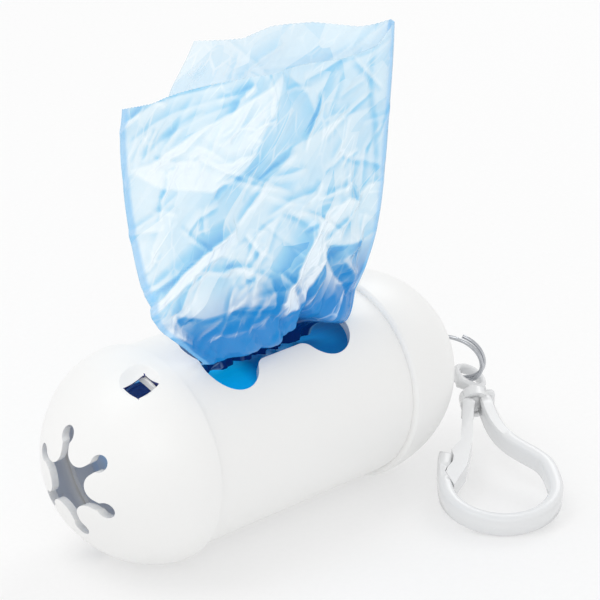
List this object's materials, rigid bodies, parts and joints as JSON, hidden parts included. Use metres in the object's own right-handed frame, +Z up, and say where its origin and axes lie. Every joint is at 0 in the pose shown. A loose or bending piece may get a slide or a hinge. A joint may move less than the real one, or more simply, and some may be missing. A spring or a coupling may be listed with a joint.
{
  "type": "dog waste bag dispenser",
  "caption": "Capsule shaped dispenser for a roll of dog waste bags, with a bone shaped slot, a pull-off front cap and a split ring with a swivel clip.",
  "frame": {"origin": "the point of the resting surface under the middle of the body tube", "axes": "+X along the capsule from the front cap to the eyelet, +Z up from the resting surface; the slot leans 21 degrees from +Z towards -Y"},
  "size_m": [0.1007, 0.0645, 0.0928],
  "materials": {
    "white_plastic": "satin moulded",
    "clip_plastic": "glossy moulded",
    "blue_film": "wound film",
    "light_blue_film": "creased translucent film",
    "core_board": "plain board",
    "ring_steel": "polished wire"
  },
  "bodies": {
    "tube": {"body_tube": "white_plastic", "rear_cap": "white_plastic"},
    "cap": {"front_cap": "white_plastic"},
    "roll": {"bag_roll": "blue_film", "roll_core": "core_board"},
    "bag": {"pulled_bag": "light_blue_film"},
    "ring": {"split_ring": "ring_steel"},
    "swivel": {"swivel_eye": "clip_plastic"},
    "hook": {"clip_hook": "clip_plastic"},
    "gate": {"clip_gate": "clip_plastic"}
  },
  "joints": [
    {"name": "front_cap_pull", "type": "slide", "parent": "tube", "child": "cap", "axis": [-1, 0, 0], "range_m": [0, 0.055]},
    {"name": "roll_spin", "type": "hinge", "parent": "tube", "child": "roll", "pos_m": [0, 0, 0.01735], "axis": [1, 0, 0], "range_deg": [0, 60]},
    {"name": "bag_pull", "type": "slide", "parent": "tube", "child": "bag", "axis": [0, -0.3584, 0.9336], "range_m": [0, 0.0155]},
    {"name": "ring_swing", "type": "hinge", "parent": "tube", "child": "ring", "pos_m": [0.04953, 0, 0.02], "axis": [0, -0.6388, 0.7694], "range_deg": [-3, 45]},
    {"name": "eye_swing", "type": "hinge", "parent": "ring", "child": "swivel", "pos_m": [0.05484, -0.00553, 0.01187], "axis": [0.2151, -0.419, 0.8821], "range_deg": [-3, 30]},
    {"name": "clip_swivel", "type": "hinge", "parent": "swivel", "child": "hook", "pos_m": [0.05484, -0.00553, 0.01187], "axis": [-0.6137, -0.7606, -0.2116], "continuous": true},
    {"name": "gate_hinge", "type": "hinge", "parent": "hook", "child": "gate", "pos_m": [0.04716, -0.01233, 0.00968], "axis": [-0.1329, -0.1647, 0.9774], "range_deg": [0, 18], "stiffness_Nm_per_rad": 0.02}
  ],
  "couplings": [
    {"joint": "bag_pull", "follows": "roll_spin", "m_per_rad": 0.0145}
  ]
}
